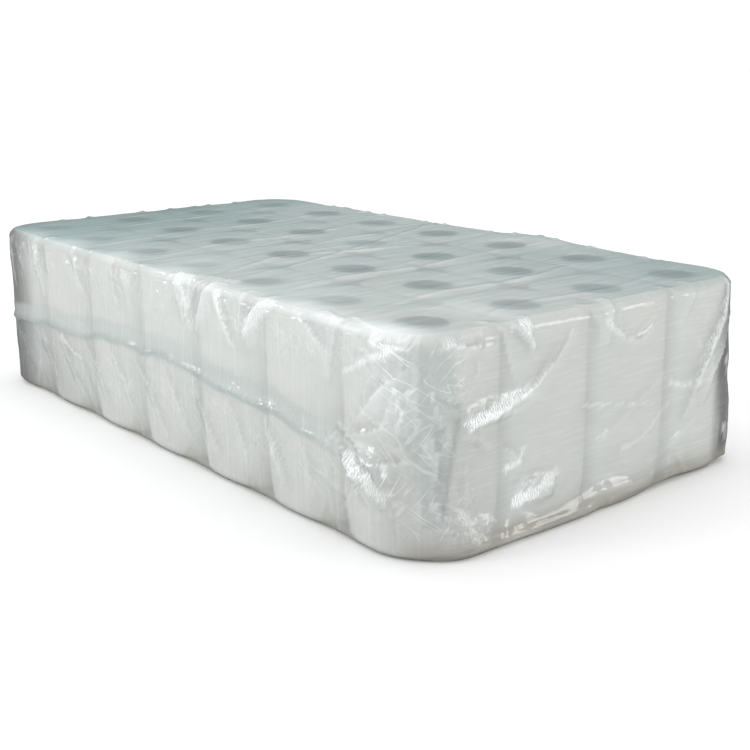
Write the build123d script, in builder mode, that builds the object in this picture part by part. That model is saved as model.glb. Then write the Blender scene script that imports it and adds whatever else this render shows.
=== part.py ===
"""A bale of toilet rolls: two layers of rolls on end, packed in rows, in one welded bag of clear film.

X runs along the bale, Y across it and Z up. The origin is on the ground, under the middle of the bale.
Every length is in millimetres.
"""

import os

from build123d import *

# The rolls
roll_diameter = 111.0
roll_height = 97.0
roll_rim_radius = 3.0  # the soft edge round each end of a roll
core_outer_diameter = 45.0
core_wall = 0.8

# How they are packed
rolls_along = 7
rolls_across = 4
layers = 2
gap_along = 5.0  # between neighbouring rolls along the bale
gap_across = 0.3  # across the bale the film pulls them together

# The film
film_thickness = 0.4
film_clearance = 0.2  # between the film and the sides of the rolls
seam_width = 20.0  # the doubled strip where the film is welded to itself

# Worked out from the sizes above
pitch_along = roll_diameter + gap_along
pitch_across = roll_diameter + gap_across
inner_length = (rolls_along - 1) * pitch_along + roll_diameter + 2 * film_clearance
inner_width = (rolls_across - 1) * pitch_across + roll_diameter + 2 * film_clearance
inner_height = layers * roll_height
inner_corner_radius = roll_diameter / 2 + film_clearance
outer_length = inner_length + 2 * film_thickness
outer_width = inner_width + 2 * film_thickness
outer_height = inner_height + 2 * film_thickness
outer_corner_radius = inner_corner_radius + film_thickness
layer_names = ["lower", "upper"] if layers == 2 else [f"layer_{n + 1}" for n in range(layers)]


def roll_place(column, row, layer):
    """The middle of the underside of a roll. Columns count along X, rows along Y and layers up."""
    x = (column - (rolls_along - 1) / 2) * pitch_along
    y = (row - (rolls_across - 1) / 2) * pitch_across
    z = film_thickness + layer * roll_height
    return (x, y, z)


def wound_paper(place):
    """The paper of one roll: all its turns as one ring, with a soft rim at each end."""
    with BuildPart() as paper:
        with BuildSketch(Plane(origin=place)):
            Circle(roll_diameter / 2)
        extrude(amount=roll_height)
        fillet(paper.edges().filter_by(GeomType.CIRCLE), roll_rim_radius)
        with Locations(place):
            Cylinder(
                core_outer_diameter / 2,
                roll_height,
                align=(Align.CENTER, Align.CENTER, Align.MIN),
                mode=Mode.SUBTRACT,
            )
    return paper.part


def layer_of_cores(layer):
    """The card tubes of one layer, each as long as its roll and touching the paper wound on it."""
    places = [
        roll_place(column, row, layer)
        for column in range(rolls_along)
        for row in range(rolls_across)
    ]
    with BuildPart() as cores:
        with BuildSketch(Plane.XY.offset(places[0][2])):
            with Locations(*[(x, y) for x, y, z in places]):
                Circle(core_outer_diameter / 2)
                Circle(core_outer_diameter / 2 - core_wall, mode=Mode.SUBTRACT)
        extrude(amount=roll_height)
    return cores.part


def film_wrap():
    """The bag: a closed skin that touches the rolls' ends and stands just clear of their sides.

    A weld joins the film to itself in a strip along both long sides, at the level where the layers meet.
    """
    straight_length = outer_length - 2 * outer_corner_radius

    with BuildPart() as contents:
        with BuildSketch(Plane.XY.offset(film_thickness)):
            RectangleRounded(inner_length, inner_width, inner_corner_radius)
        extrude(amount=inner_height)
        ends = contents.edges().group_by(Axis.Z)
        fillet(ends[0] + ends[-1], roll_rim_radius)

    with BuildPart() as film:
        with BuildSketch():
            RectangleRounded(outer_length, outer_width, outer_corner_radius)
        extrude(amount=outer_height)
        ends = film.edges().group_by(Axis.Z)
        fillet(ends[0] + ends[-1], roll_rim_radius + film_thickness)
        for side in (-1, 1):
            middle = (0, side * outer_width / 2, outer_height / 2)
            with BuildSketch(Plane(origin=middle, x_dir=(1, 0, 0), z_dir=(0, side, 0))):
                Rectangle(straight_length, seam_width)
            extrude(amount=film_thickness)
        add(contents.part, mode=Mode.SUBTRACT)
    return film.part


def write_part(part, name):
    part.label = name
    export_step(part, f"parts/{name}.step")


os.makedirs("parts", exist_ok=True)

for layer, layer_name in enumerate(layer_names):
    for row in range(rolls_across):
        for column in range(rolls_along):
            paper = wound_paper(roll_place(column, row, layer))
            write_part(paper, f"roll_{layer_name}_row{row + 1}_col{column + 1}")
    write_part(layer_of_cores(layer), f"cores_{layer_name}")

write_part(film_wrap(), "film_wrap")
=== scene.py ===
"""A bale of toilet rolls in clear film: soft wound rolls, card cores and one creased bag round them all.

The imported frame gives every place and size. X runs along the bale, Y across it and Z up, in metres.
"""

import math

import bpy
import numpy as np
from bpy.props import FloatProperty, FloatVectorProperty, IntProperty, PointerProperty
from mathutils import Matrix, Vector


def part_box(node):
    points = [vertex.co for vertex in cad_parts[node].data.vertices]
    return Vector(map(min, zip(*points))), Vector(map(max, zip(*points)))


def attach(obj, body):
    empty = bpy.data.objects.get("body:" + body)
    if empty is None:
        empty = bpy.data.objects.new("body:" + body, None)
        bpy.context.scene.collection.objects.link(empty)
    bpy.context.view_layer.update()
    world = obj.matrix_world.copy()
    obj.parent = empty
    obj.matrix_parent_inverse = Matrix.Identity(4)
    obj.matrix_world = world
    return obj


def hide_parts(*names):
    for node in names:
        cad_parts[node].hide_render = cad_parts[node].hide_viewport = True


bl_info = {
    "name": "Toilet Roll Bale",
    "version": (1, 0, 0),
    "blender": (4, 5, 0),
    "location": "3D View > Sidebar > Bale",
    "description": "Builds a bale of toilet rolls wrapped in clear film round its packed frame",
    "category": "Add Mesh",
}

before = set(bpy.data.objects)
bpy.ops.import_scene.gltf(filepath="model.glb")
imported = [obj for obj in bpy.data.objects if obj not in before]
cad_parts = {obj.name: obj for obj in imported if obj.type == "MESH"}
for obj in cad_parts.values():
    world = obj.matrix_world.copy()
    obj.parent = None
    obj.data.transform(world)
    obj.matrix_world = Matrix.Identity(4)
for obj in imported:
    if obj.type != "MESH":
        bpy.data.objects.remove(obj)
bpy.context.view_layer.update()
ROLL_NODES = sorted(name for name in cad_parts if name.startswith("roll_"))
CORE_NODES = sorted(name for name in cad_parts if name.startswith("cores_"))
FILM_NODE = "film_wrap"


# Sizes taken from the frame


def node_box(name):
    """The lowest and highest corner of a frame node, as arrays."""
    low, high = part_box(name)
    return np.array(low, float), np.array(high, float)


def roll_layout():
    """Where the rolls stand: the columns' X, the rows' Y and a roll's radius."""
    boxes = np.array([node_box(name) for name in ROLL_NODES])
    middles = boxes.mean(axis=1)
    return {
        "columns": np.unique(middles[:, 0].round(5)),
        "rows": np.unique(middles[:, 1].round(5)),
        "radius": (boxes[:, 1, 0] - boxes[:, 0, 0]).mean() / 2,
    }


LAYOUT = roll_layout()
FILM_HIGH = node_box(FILM_NODE)[1]
FILM_GAP = 0.0006
HALF_LENGTH = FILM_HIGH[0]
CORNER_RADIUS = LAYOUT["radius"] + FILM_GAP
HALF_WIDTH = LAYOUT["rows"][-1] + CORNER_RADIUS
BALE_HEIGHT = FILM_HIGH[2]
PITCH_ALONG = float(np.diff(LAYOUT["columns"]).mean())
PITCH_ACROSS = float(np.diff(LAYOUT["rows"]).mean())
MID_HEIGHT = BALE_HEIGHT / 2

# Rolls: columns round a roll and round a core, how much smaller than its place a roll is, the rim of its bore, and the
# thickness of one turn. The powers are of its squeezed outline, between neighbours, facing out, and at the foot.

ROLL_COLUMNS, CORE_COLUMNS = 96, 48
ROLL_EASE, BORE_RIM, PLY = 0.0004, 0.0026, 0.0009
PRESSED_POWER, OUTER_POWER, FOOT_POWER = 4.4, 4.2, 3.1
CORE_OUTSIDE = 0.0224
ROLL_SEED, CORE_SEED, FILM_SEED = 100, 500, 7

# Film: the rounding of its edges, its cells along a long side, a short side and up a wall, the coarser step and the
# band's width at the foot, its height off the floor, the least haze, the highest fold, the colour of its painted
# highlights, and how far the near corner is from the middle of the long side and of the end, in millimetres.

FILM_RIM = 0.0072
LONG_CELLS, SHORT_CELLS, WALL_CELLS = 264, 141, 60
FOOT_STEP, FOOT_BAND, FOOT_HEIGHT = 3, 0.012, 0.0002
HAZE_LEAST, LIFT_MOST = 0.345, 0.014
PAINTED_LIGHT_WHITE = (0.945, 0.985, 0.985, 1.0)
CORNER_ALONG, CORNER_ACROSS = 404, 223

# The sides of the bale and which way along its axis each one faces.

SIDE_SIGN = {"long": -1, "back": 1, "end": 1, "far_end": -1}


# Settings


class BaleRollSettings(bpy.types.PropertyGroup):
    """Sizes and colours of the wound paper."""

    rim: FloatProperty(
        name="Soft Rim",
        description="How far the edge of a roll is rounded over",
        default=0.0062, min=0.003, max=0.012, unit="LENGTH",
    )
    joint_rim: FloatProperty(
        name="Joint Rim",
        description="How far the edge is rounded where the two layers press together",
        default=0.0005, min=0.0003, max=0.01, unit="LENGTH",
    )
    bore_radius: FloatProperty(
        name="Bore Radius",
        description="Inside radius of the wound paper",
        default=0.0226, min=0.015, max=0.03, unit="LENGTH",
    )
    tail_step: FloatProperty(
        name="Tail Step",
        description="Height of the step where the last sheet ends",
        default=0.0007, min=0.0, max=0.002, unit="LENGTH",
    )
    emboss: FloatProperty(
        name="Emboss Depth",
        description="Depth of the quilting pressed into the paper",
        default=0.0005, min=0.0, max=0.002, unit="LENGTH",
    )
    paper_color: FloatVectorProperty(
        name="Paper Color",
        description="Colour of the tissue",
        default=(0.83, 0.815, 0.79), subtype="COLOR", min=0, max=1,
    )
    # Painted shade: the tissue is blended to this colour round the bore, where shade falls into the hole, and its
    # random mottling leans a little towards it.
    shade_color: FloatVectorProperty(
        name="Shade Color",
        description="Colour of the tissue deep in its folds and round its bore",
        default=(0.36, 0.445, 0.47), subtype="COLOR", min=0, max=1,
    )


class BaleCoreSettings(bpy.types.PropertyGroup):
    """Sizes and colours of the card tubes."""

    wall: FloatProperty(
        name="Wall",
        description="Thickness of the card",
        default=0.0009, min=0.0004, max=0.002, unit="LENGTH",
    )
    inset: FloatProperty(
        name="Inset",
        description="How far the card stops short of the paper's end",
        default=0.0012, min=0.0, max=0.004, unit="LENGTH",
    )
    # Partly painted shade: the card's own grey, darkened and cooled so that the bores look shaded.
    card_and_painted_shade_color: FloatVectorProperty(
        name="Card Color",
        description="Colour of the card tubes",
        default=(0.275, 0.375, 0.39), subtype="COLOR", min=0, max=1,
    )


class BaleFilmSettings(bpy.types.PropertyGroup):
    """Shape and finish of the bag."""

    sag: FloatProperty(
        name="Sag",
        description="How far the film pulls in between two rolls",
        default=0.0030, min=0.0, max=0.012, unit="LENGTH",
    )
    wrinkles: IntProperty(
        name="Top Wrinkles",
        description="Number of fine pulls across the top",
        default=190, min=0, max=400,
    )
    crease: FloatProperty(
        name="Crease",
        description="Factor on the height of every fold",
        default=1.0, min=0.0, max=2.0, subtype="FACTOR",
    )
    film_color: FloatVectorProperty(
        name="Film Color",
        description="Colour of the film's haze",
        default=(0.645, 0.68, 0.665), subtype="COLOR", min=0, max=1,
    )
    clear_tint: FloatVectorProperty(
        name="Clear Tint",
        description="Tint of what is seen straight through the film",
        default=(0.865, 0.87, 0.86), subtype="COLOR", min=0, max=1,
    )
    # Painted shade: on the far corners, the shaded flanks of folds, the far foot and the pocket's edge, what is seen
    # through the film turns to this tint and its haze goes darker too.
    painted_shade_tint: FloatVectorProperty(
        name="Dark Tint",
        description="Tint where the film is bunched up in many layers",
        default=(0.11, 0.112, 0.11), subtype="COLOR", min=0, max=1,
    )
    # Painted shadow: the shaded floor seen through the slack film at the foot, put into the haze as this brownish
    # colour.
    painted_foot_shade_color: FloatVectorProperty(
        name="Warm Color",
        description="Colour of the slack film along the foot",
        default=(0.36, 0.345, 0.30), subtype="COLOR", min=0, max=1,
    )
    # Also painted shade: the far parts of the top turn towards this tint as if seen at a slant.
    slant_and_painted_shade_tint: FloatVectorProperty(
        name="Edge Tint",
        description="Tint of what is seen through the film at a slant",
        default=(0.19, 0.335, 0.34), subtype="COLOR", min=0, max=1,
    )


class BaleStageSettings(bpy.types.PropertyGroup):
    """Floor, lamps and camera."""

    floor_color: FloatVectorProperty(
        name="Floor Color",
        description="Colour of the floor",
        default=(0.93, 0.93, 0.93), subtype="COLOR", min=0, max=1,
    )
    key_power: FloatProperty(
        name="Key Power",
        description="Power that the four lamps take their shares of",
        default=16.0, min=0.0, subtype="POWER",
    )
    world_strength: FloatProperty(
        name="World Strength",
        description="Brightness of the even light from all round",
        default=1.13, min=0.0,
    )
    lens: FloatProperty(
        name="Lens",
        description="Focal length of the camera",
        default=58.97, min=10.0, unit="CAMERA",
    )


SETTINGS = {
    "bale_rolls": BaleRollSettings,
    "bale_cores": BaleCoreSettings,
    "bale_film": BaleFilmSettings,
    "bale_stage": BaleStageSettings,
}


# Mesh helpers


def smooth_step(value, low, high):
    """0 below low, 1 above high, and an S curve between them."""
    t = np.clip((value - low) / (high - low), 0, 1)
    return t * t * (3 - 2 * t)


def hump(value, middle, width):
    """A bell curve: 1 at its middle and 0.37 one width away."""
    return np.exp(-((value - middle) / width) ** 2)


def new_piece(name, points, faces, material):
    """Makes a smooth object at the origin from an (N, 3) array of points and a list of faces."""
    mesh = bpy.data.meshes.new(name)
    mesh.from_pydata(np.asarray(points).tolist(), [], faces)
    mesh.polygons.foreach_set("use_smooth", np.full(len(mesh.polygons), True))
    mesh.materials.append(material)
    mesh.validate()
    mesh.update()
    piece = bpy.data.objects.new(name, mesh)
    bpy.context.scene.collection.objects.link(piece)
    return piece


def point_mask(mesh, name, values):
    """Stores one number a vertex as a named attribute."""
    layer = mesh.attributes.new(name, "FLOAT", "POINT")
    layer.data.foreach_set("value", np.asarray(values, np.float32))


def corner_uv(mesh, name, uv):
    """Stores an (L, 2) array, one row a face corner, as a UV map."""
    layer = mesh.uv_layers.new(name=name)
    layer.data.foreach_set("uv", np.asarray(uv, np.float32).ravel())


def corner_vertices(mesh):
    """The vertex number at each face corner."""
    corner = np.zeros(len(mesh.loops), np.int32)
    mesh.loops.foreach_get("vertex_index", corner)
    return corner


def corner_turns(corner, columns):
    """How far round its ring each corner of a ring's quads is, from 0 to 1. A quad over the join ends at 1."""
    column = (corner % columns).reshape(-1, 4)
    over_join = (column.min(axis=1) == 0) & (column.max(axis=1) == columns - 1)
    return np.where(over_join[:, None] & (column == 0), columns, column).ravel() / columns


def ring_faces(rows, columns, closed_rows=False):
    """Quads of a grid whose columns run round in a ring; rows close on themselves too if asked.

    Vertex (row, column) has number row * columns + column.
    """
    row_count = rows if closed_rows else rows - 1
    row, column = np.meshgrid(np.arange(row_count), np.arange(columns), indexing="ij")
    next_row = (row + 1) % rows
    next_column = (column + 1) % columns
    corners = [(row, column), (row, next_column), (next_row, next_column), (next_row, column)]
    return np.stack([r * columns + c for r, c in corners], axis=-1).reshape(-1, 4)


# Materials


def rgba(color, factor=1.0):
    """A colour for a socket, scaled by a number."""
    return (color[0] * factor, color[1] * factor, color[2] * factor, 1.0)


class NodeSheet:
    """A node tree written as a recipe: each method adds one node and returns its result.

    Wherever a value is asked for, another node's output can be given, and is linked.
    """

    def __init__(self, tree):
        self.tree = tree

    def add(self, kind, inputs=None, **properties):
        """Any node, with its properties set and its inputs set or linked. Returns the node."""
        node = self.tree.nodes.new(kind)
        for key, value in properties.items():
            setattr(node, key, value)
        for key, value in (inputs or {}).items():
            if isinstance(value, bpy.types.NodeSocket):
                self.tree.links.new(value, node.inputs[key])
            else:
                node.inputs[key].default_value = value
        return node

    def mask(self, name):
        """A named attribute as a number."""
        return self.add("ShaderNodeAttribute", attribute_name=name).outputs["Fac"]

    def uv(self, name):
        """A UV map's coordinates."""
        return self.add("ShaderNodeUVMap", uv_map=name).outputs["UV"]

    def place(self):
        """The place on the object, in metres."""
        return self.add("ShaderNodeTexCoord").outputs["Object"]

    def moved(self, vector, **inputs):
        """Coordinates after a Mapping node, whose inputs are given by name."""
        return self.add("ShaderNodeMapping", {"Vector": vector, **inputs}).outputs[0]

    def noise(self, vector, scale, detail=2.0, roughness=0.5, distortion=0.0, output="Fac"):
        """Soft mottling, about 0.5 on average."""
        inputs = {"Vector": vector, "Scale": scale, "Detail": detail, "Roughness": roughness, "Distortion": distortion}
        return self.add("ShaderNodeTexNoise", inputs).outputs[output]

    def cells(self, vector, scale, randomness=1.0):
        """The distance to the nearest of many scattered points, in cells."""
        inputs = {"Vector": vector, "Scale": scale, "Randomness": randomness}
        return self.add("ShaderNodeTexVoronoi", inputs).outputs["Distance"]

    def bands(self, vector, scale, distortion=0.0, detail=2.0, detail_scale=1.0, **properties):
        """Parallel bands, from 0 to 1."""
        inputs = {
            "Vector": vector, "Scale": scale, "Distortion": distortion, "Detail": detail, "Detail Scale": detail_scale,
        }
        return self.add("ShaderNodeTexWave", inputs, wave_type="BANDS", **properties).outputs["Fac"]

    def remap(self, value, low, high, start=0.0, end=1.0):
        """Turns low to high into start to end, and keeps within them."""
        inputs = {"Value": value, "From Min": low, "From Max": high, "To Min": start, "To Max": end}
        return self.add("ShaderNodeMapRange", inputs).outputs[0]

    def math(self, operation, *terms, clamp=False):
        """One sum, product or the like."""
        return self.add("ShaderNodeMath", dict(enumerate(terms)), operation=operation, use_clamp=clamp).outputs[0]

    def number(self, share, first, second):
        """A number between two others."""
        return self.add("ShaderNodeMix", {0: share, 2: first, 3: second}, data_type="FLOAT").outputs[0]

    def color(self, share, first, second):
        """A colour between two others."""
        return self.add("ShaderNodeMix", {0: share, 6: first, 7: second}, data_type="RGBA").outputs[2]

    def bump(self, height, strength, distance):
        """The normal of a surface with that height on it."""
        return self.add("ShaderNodeBump", {"Height": height, "Strength": strength, "Distance": distance}).outputs[0]

    def shader(self, kind, inputs):
        """A shader node's result."""
        return self.add("ShaderNode" + kind, inputs).outputs[0]

    def arrange(self):
        """Sets the nodes out from left to right, each to the left of every node that it feeds."""
        column = {node.name: 0 for node in self.tree.nodes}
        for _ in self.tree.nodes:
            for link in self.tree.links:
                column[link.from_node.name] = max(column[link.from_node.name], column[link.to_node.name] + 1)
        filled = [0] * len(column)
        for node in self.tree.nodes:
            place = column[node.name]
            node.location = (-220 * place, -260 * filled[place])
            filled[place] += 1


def new_material(name):
    """An empty material of that name and the sheet that its nodes are written on."""
    material = bpy.data.materials.new(name)
    material.use_nodes = True
    material.node_tree.nodes.clear()
    return material, NodeSheet(material.node_tree)


def finish_material(sheet, shader):
    """Sends a shader to the surface."""
    sheet.add("ShaderNodeOutputMaterial", {"Surface": shader})
    sheet.arrange()


def fibre_group():
    """Group: soft mottling and fine fibres of paper or card. Puts out a mask of tone and a height."""
    name = "Paper Fibres"
    if name in bpy.data.node_groups:
        return bpy.data.node_groups[name]
    group = bpy.data.node_groups.new(name, "ShaderNodeTree")
    group.interface.new_socket("Vector", in_out="INPUT", socket_type="NodeSocketVector")
    scale = group.interface.new_socket("Scale", in_out="INPUT", socket_type="NodeSocketFloat")
    scale.default_value = 1.0
    group.interface.new_socket("Tone", in_out="OUTPUT", socket_type="NodeSocketFloat")
    group.interface.new_socket("Height", in_out="OUTPUT", socket_type="NodeSocketFloat")
    sheet = NodeSheet(group)
    start = sheet.add("NodeGroupInput")
    scaled = sheet.add(
        "ShaderNodeVectorMath", {0: start.outputs["Vector"], "Scale": start.outputs["Scale"]}, operation="SCALE",
    ).outputs[0]
    blotch = sheet.noise(scaled, 38.0, detail=3.0, roughness=0.6)
    fibre = sheet.noise(scaled, 620.0, detail=4.0, roughness=0.7)
    sheet.add("NodeGroupOutput", {"Tone": blotch, "Height": sheet.math("MULTIPLY_ADD", fibre, 0.5, blotch)})
    sheet.arrange()
    return group


def paper_material(settings):
    """White tissue: quilted dots on the sides, wound layers on the ends, and painted shade darkening it round the bore.
    """
    material, sheet = new_material("Tissue Paper")
    wrap = sheet.uv("wrap")
    fibres = sheet.add("ShaderNodeGroup", {"Vector": sheet.place()}, node_tree=fibre_group()).outputs
    # Side: small pressed dots over a level crepe. Ends: the wound layers.
    dots = sheet.remap(sheet.cells(wrap, 180.0, randomness=0.55), 0.12, 0.5)
    crepe = sheet.noise(sheet.moved(wrap, Scale=(0.06, 1.0, 1.0)), 260.0)
    side = sheet.math("MULTIPLY_ADD", crepe, 1.6, dots)
    layers = sheet.bands(wrap, 190.0, distortion=2.2, detail_scale=0.6, bands_direction="X")
    pressed = sheet.number(sheet.mask("end_face"), side, layers)
    height = sheet.math("MULTIPLY_ADD", fibres["Height"], 0.55, pressed)
    mottle = sheet.remap(fibres["Tone"], 0.3, 0.7, 0.0, 0.10)
    # Random mottling of the tissue plus painted shade round the bore, both blended towards the shade colour.
    deep = sheet.math("ADD", mottle, sheet.mask("shade"), clamp=True)
    finish_material(sheet, sheet.shader("BsdfPrincipled", {
        "Base Color": sheet.color(deep, rgba(settings.paper_color), rgba(settings.shade_color)),
        "Normal": sheet.bump(height, 0.2, settings.emboss),
        "Roughness": 0.95, "Specular IOR Level": 0.15, "Sheen Weight": 0.15, "Sheen Roughness": 0.6,
    }))
    return material


def card_material(settings):
    """Grey card with a spiral joint line and loose fibres, its grey darkened and cooled as painted shade down the
    bores.
    """
    material, sheet = new_material("Core Card")
    fibres = sheet.add("ShaderNodeGroup", {"Vector": sheet.place()}, node_tree=fibre_group()).outputs
    spiral = sheet.bands(sheet.uv("wrap"), 6.0, bands_direction="DIAGONAL", wave_profile="SAW")
    joint = sheet.remap(spiral, 0.93, 1.0)
    mottle = sheet.math("MULTIPLY_ADD", fibres["Tone"], 0.5, joint, clamp=True)
    finish_material(sheet, sheet.shader("BsdfPrincipled", {
        "Base Color": sheet.color(mottle, rgba(settings.card_and_painted_shade_color), rgba(settings.card_and_painted_shade_color, 0.6)),
        "Normal": sheet.bump(fibres["Height"], 0.4, 0.0003),
        "Roughness": 0.9, "Specular IOR Level": 0.2,
    }))
    return material


def painted_crease_glints(sheet, flow, ripple, warp, crinkle):
    """Painted highlights on creased film: short thin lines in two directions, each broken off by its own noise.

    A line runs where a drawn-out noise is close to its mean. Only crumpled film has them.
    """
    strokes = []
    for shift, turn, breaks, low, high in ((0.0, 0.65, ripple, 0.46, 0.56), (0.3, -0.95, warp, 0.50, 0.58)):
        turned = sheet.moved(flow, Rotation=(0, 0, turn))
        drawn = sheet.moved(turned, Scale=(0.20, 1.0, 1.0), Location=(shift, 0.1, 0.0))
        noise = sheet.noise(drawn, 95.0, detail=1.0, roughness=0.4, distortion=0.25)
        off_mean = sheet.math("ABSOLUTE", sheet.math("SUBTRACT", noise, 0.5))
        line = sheet.remap(off_mean, 0.004, 0.030, 1.0, 0.0)
        strokes.append(sheet.math("MULTIPLY", line, sheet.remap(breaks, low, high)))
    once = sheet.math("MULTIPLY", sheet.math("MAXIMUM", *strokes), crinkle, clamp=True)
    return sheet.math("MULTIPLY", once, crinkle, clamp=True)


def film_material(settings):
    """Clear film with a thin haze: see-through head on, cooler and darker at a slant and under painted shade, glossy,
    and whiter with painted highlights on its creases and folds.
    """
    material, sheet = new_material("Clear Film")
    flow, place = sheet.uv("flow"), sheet.place()
    crinkle, painted_shade = sheet.mask("crinkle"), sheet.mask("painted_shade")
    # Fine pulls along the film's tension: upright on the long sides, level on the ends.
    upright = sheet.noise(sheet.moved(flow, Scale=(1.0, 0.04, 1.0)), 190.0, distortion=0.15)
    level = sheet.noise(sheet.moved(flow, Scale=(0.07, 1.0, 1.0)), 330.0, distortion=0.2)
    pulls = sheet.number(sheet.mask("level"), upright, level)
    ripple = sheet.noise(place, 26.0)
    soft = sheet.math("MULTIPLY_ADD", ripple, 1.2, pulls)
    calm = sheet.math("MULTIPLY", soft, 0.13)
    # Crumpled patches: cells with sharp ridges between them, on a place bent by noise.
    warp = sheet.add("ShaderNodeTexNoise", {"Vector": place, "Scale": 30.0, "Detail": 2.0}).outputs
    bent = sheet.add("ShaderNodeMix", {0: 0.02, 4: place, 5: warp["Color"]}, data_type="VECTOR").outputs[1]
    facets = sheet.math("MULTIPLY_ADD", sheet.cells(bent, 240.0), 0.45, sheet.cells(bent, 105.0))
    crumpled = sheet.math("MULTIPLY", facets, crinkle)
    relief = sheet.bump(sheet.math("MULTIPLY_ADD", crumpled, 2.4, calm), 0.6, 0.0016)
    # What is seen through the film: nearly clear head on, cooler at a slant, where there are two layers and under the
    # painted shade of the top's far parts, and near black under the painted shade of corners and fold flanks.
    facing = sheet.add("ShaderNodeLayerWeight", {"Blend": 0.5, "Normal": sheet.bump(calm, 0.7, 0.0016)})
    slant = sheet.remap(facing.outputs["Facing"], 0.70, 0.96)
    slant_and_painted_shade = sheet.math("MULTIPLY_ADD", sheet.mask("doubled_and_painted_shade"), 0.9, slant, clamp=True)
    tint = sheet.color(slant_and_painted_shade, rgba(settings.clear_tint), rgba(settings.slant_and_painted_shade_tint))
    clear = sheet.shader("BsdfTransparent", {"Color": sheet.color(painted_shade, tint, rgba(settings.painted_shade_tint))})
    # Painted highlights: the lit flanks of the big folds and other painted light, the glint bars, thin strokes on
    # crumpled film and the finest pulls.
    strokes = painted_crease_glints(sheet, flow, ripple, warp["Fac"], crinkle)
    painted_light = sheet.math("MULTIPLY_ADD", strokes, 0.55, sheet.mask("painted_light"))
    ruffles = sheet.bands(flow, 120.0, distortion=9.0, detail=3.0, detail_scale=1.6, bands_direction="X")
    painted_glint = sheet.math("MULTIPLY", sheet.mask("glint"), sheet.remap(ruffles, 0.0, 1.0, 0.30, 0.92))
    painted_pull_streaks = sheet.remap(pulls, 0.48, 0.80, 0.0, 0.09)
    painted_white = sheet.math("ADD", sheet.math("ADD", painted_light, painted_glint), painted_pull_streaks, clamp=True)
    # The haze's colour: cooler at a slant, darker under painted shade, brownish with painted floor shadow along the
    # foot, and whiter with painted highlights.
    cool = rgba([part * factor for part, factor in zip(settings.film_color, (0.34, 0.55, 0.56))])
    cloud = sheet.color(slant_and_painted_shade, rgba(settings.film_color), cool)
    cloud_under_painted_shade = sheet.color(painted_shade, cloud, rgba(settings.clear_tint, 0.20))
    painted_foot_shade = sheet.color(sheet.mask("painted_foot_shade"), cloud_under_painted_shade, rgba(settings.painted_foot_shade_color))
    haze = sheet.shader("BsdfPrincipled", {
        "Base Color": sheet.color(painted_white, painted_foot_shade, PAINTED_LIGHT_WHITE), "Normal": relief,
        "Roughness": 0.5, "IOR": 1.45, "Specular IOR Level": 0.2,
    })
    # How much of the haze there is, more under the painted highlights, and the shine over it all.
    hazy = sheet.math("MULTIPLY_ADD", sheet.mask("crease"), 0.06, sheet.mask("haze"))
    cloudy = sheet.math("MULTIPLY_ADD", painted_white, 0.55, hazy, clamp=True)
    film = sheet.shader("MixShader", {0: cloudy, 1: clear, 2: haze})
    fresnel = sheet.shader("Fresnel", {"IOR": 1.3, "Normal": relief})
    mirror = sheet.math("MULTIPLY_ADD", fresnel, 0.22, 0.06)
    shine = sheet.shader("BsdfGlossy", {"Roughness": 0.075, "Normal": relief})
    finish_material(sheet, sheet.shader("MixShader", {0: mirror, 1: film, 2: shine}))
    return material


def floor_material(settings):
    """Pale studio floor with a trace of mottling."""
    material, sheet = new_material("Pale Floor")
    mottle = sheet.noise(sheet.place(), 3.0, detail=3.0)
    finish_material(sheet, sheet.shader("BsdfPrincipled", {
        "Base Color": sheet.color(mottle, rgba(settings.floor_color), rgba(settings.floor_color, 0.98)),
        "Roughness": 0.75, "Specular IOR Level": 0.2,
    }))
    return material


# Rolls


def squeezed_reach(low, high, turn, outer_power=OUTER_POWER):
    """The distance from a roll's axis to its side at each angle, after packing has pressed it against its neighbours.

    Each quarter is part of a superellipse, |cos / a|^p + |sin / b|^p = 1 / reach^p. Towards a neighbour a or b is half
    the pitch. The power p is 2, a circle, in a corner of the bale, outer_power where one side faces out and
    PRESSED_POWER between neighbours. Also returns how far each angle faces out of the bale, 0 to 1.
    """
    middle = (low + high) / 2
    radius = (high[0] - low[0]) / 2 - ROLL_EASE
    last_x, last_y = LAYOUT["columns"][-1] - 0.001, LAYOUT["rows"][-1] - 0.001
    cos, sin = np.cos(turn), np.sin(turn)
    open_x = np.where(cos > 0, middle[0] > last_x, middle[0] < -last_x)
    open_y = np.where(sin > 0, middle[1] > last_y, middle[1] < -last_y)
    reach_x = np.where(open_x, radius, PITCH_ALONG / 2 - 0.0005)
    reach_y = np.where(open_y, radius, PITCH_ACROSS / 2 - 0.0003)
    power = np.where(open_x & open_y, 2.0, np.where(open_x | open_y, outer_power, PRESSED_POWER))
    reach = (np.abs(cos / reach_x) ** power + np.abs(sin / reach_y) ** power) ** (-1 / power)
    faces_out = np.maximum(np.where(open_x, np.abs(cos), 0), np.where(open_y, np.abs(sin), 0))
    return reach, faces_out


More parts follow.
